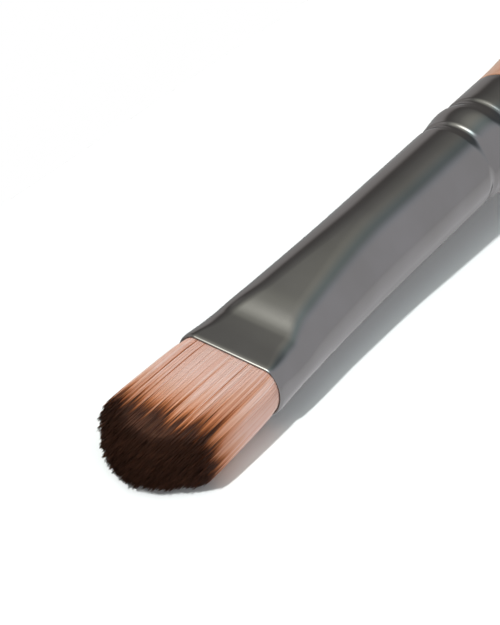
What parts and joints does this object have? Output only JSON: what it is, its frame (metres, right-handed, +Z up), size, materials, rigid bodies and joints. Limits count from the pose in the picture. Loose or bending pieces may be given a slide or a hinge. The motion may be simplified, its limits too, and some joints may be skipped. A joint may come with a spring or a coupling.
{
  "type": "concealer brush",
  "caption": "Flat concealer brush with a domed two-tone filament tuft, a dark metal ferrule pressed flat at the mouth and crimped at the back, and a turned wooden handle.",
  "frame": {"origin": "on the ground plane under the handle's belly, below the middle of the brush's length and width", "axes": "+Y along the brush from the tuft to the end of the handle, +X across the wide face, +Z up, square to the wide face"},
  "size_m": [0.0122, 0.161, 0.0122],
  "materials": {
    "lacquered_beech": "turned and sealed with thin satin lacquer",
    "gunmetal_plate": "drawn brass, plated dark nickel, semi-gloss",
    "filament": "tapered polyester filament, beige with dark brown dyed tips",
    "root_resin": "cast epoxy",
    "adhesive": "cured wood adhesive"
  },
  "bodies": {
    "root": {"handle": "lacquered_beech", "ferrule": "gunmetal_plate", "root_resin": "root_resin", "tenon_glue": "adhesive", "bristles_bottom": "filament", "bristles_lower": "filament", "bristles_upper": "filament", "bristles_top": "filament"}
  },
  "joints": []
}
